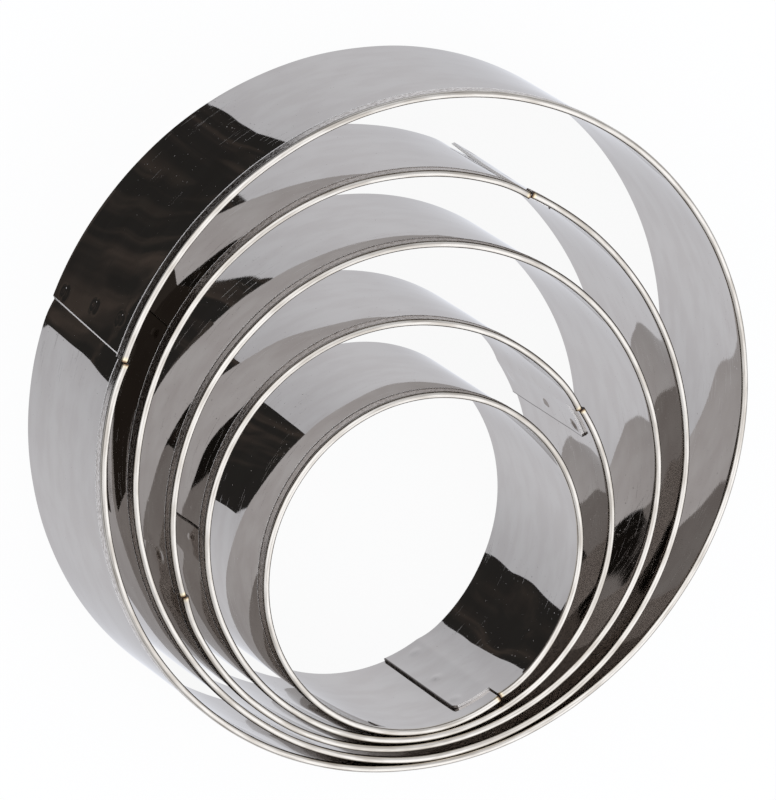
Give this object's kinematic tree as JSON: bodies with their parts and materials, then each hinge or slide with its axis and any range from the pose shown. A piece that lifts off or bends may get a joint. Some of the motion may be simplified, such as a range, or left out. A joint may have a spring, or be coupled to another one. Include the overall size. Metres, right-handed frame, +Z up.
{
  "type": "biscuit cutter",
  "caption": "Nested set of plain round biscuit cutters: open steel hoops with a thin cutting edge below and a hem folded outwards on top.",
  "frame": {"origin": "middle of the largest ring, on the plane of the cutting edges that the set stands on", "axes": "+Z up through the rings, from the cutting edges to the hems; +X and +Y lie in the plane of the cutting edges, and the nested rings lie against each other towards -Y"},
  "size_m": [0.081, 0.081, 0.024],
  "materials": {
    "polished_steel": "mirror-polished stainless steel sheet, with fine rubbing marks"
  },
  "bodies": {
    "largest": {"largest_ring": "polished_steel"},
    "large": {"large_ring": "polished_steel"},
    "middle": {"middle_ring": "polished_steel"},
    "small": {"small_ring": "polished_steel"},
    "smallest": {"smallest_ring": "polished_steel"}
  },
  "joints": [
    {"name": "large_ring_lift", "type": "slide", "parent": "largest", "child": "large", "axis": [0, 0, 1], "range_m": [0, 0.03]},
    {"name": "middle_ring_lift", "type": "slide", "parent": "largest", "child": "middle", "axis": [0, 0, 1], "range_m": [0, 0.03]},
    {"name": "small_ring_lift", "type": "slide", "parent": "largest", "child": "small", "axis": [0, 0, 1], "range_m": [0, 0.03]},
    {"name": "smallest_ring_lift", "type": "slide", "parent": "largest", "child": "smallest", "axis": [0, 0, 1], "range_m": [0, 0.03]}
  ]
}
